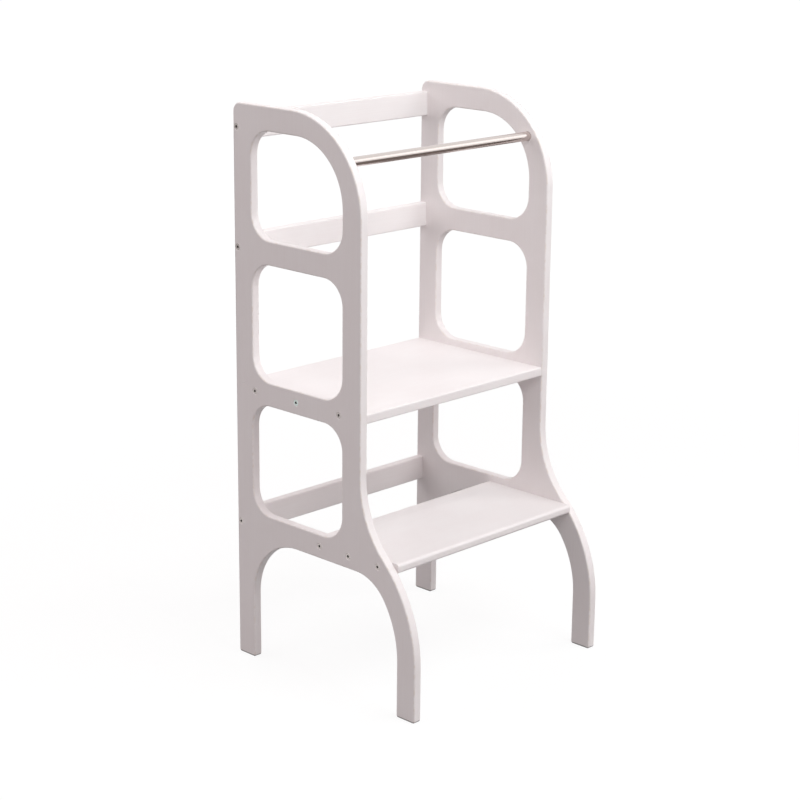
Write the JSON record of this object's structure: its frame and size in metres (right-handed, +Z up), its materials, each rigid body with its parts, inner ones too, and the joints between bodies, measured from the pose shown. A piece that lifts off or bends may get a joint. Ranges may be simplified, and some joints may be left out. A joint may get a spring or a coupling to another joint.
{
  "type": "toddler kitchen helper stool",
  "caption": "Tall toddler kitchen stool: painted plywood side panels with rounded cut-outs, joined by a standing platform, a lower step, back rails and a steel grab bar.",
  "frame": {"origin": "on the floor, at the middle of the footprint of the side panels", "axes": "+X to the stool's left-to-right as seen from its front, -Y to its front (the side the child climbs), +Z up"},
  "size_m": [0.43, 0.398, 0.9],
  "materials": {
    "painted_board": "birch plywood, sprayed with a satin white furniture paint",
    "stainless_tube": "ground and satin polished stainless steel tube",
    "zinc_screw": "bright zinc plated steel",
    "beech_dowel": "bare turned beech"
  },
  "bodies": {
    "root": {"side_panel_left": "painted_board", "side_panel_right": "painted_board", "platform_board": "painted_board", "step_board": "painted_board", "back_rail_top": "painted_board", "back_rail_middle": "painted_board", "back_rail_bottom": "painted_board", "grab_bar": "stainless_tube", "screws_platform_left": "zinc_screw", "screws_platform_right": "zinc_screw", "screws_step_left": "zinc_screw", "screws_step_right": "zinc_screw", "screws_rail_top_left": "zinc_screw", "screws_rail_top_right": "zinc_screw", "screws_rail_middle_left": "zinc_screw", "screws_rail_middle_right": "zinc_screw", "screws_rail_bottom_left": "zinc_screw", "screws_rail_bottom_right": "zinc_screw", "dowels_platform_left": "beech_dowel", "dowels_platform_right": "beech_dowel", "dowels_step_left": "beech_dowel", "dowels_step_right": "beech_dowel", "dowels_rail_top_left": "beech_dowel", "dowels_rail_top_right": "beech_dowel", "dowels_rail_middle_left": "beech_dowel", "dowels_rail_middle_right": "beech_dowel", "dowels_rail_bottom_left": "beech_dowel", "dowels_rail_bottom_right": "beech_dowel"}
  },
  "joints": []
}
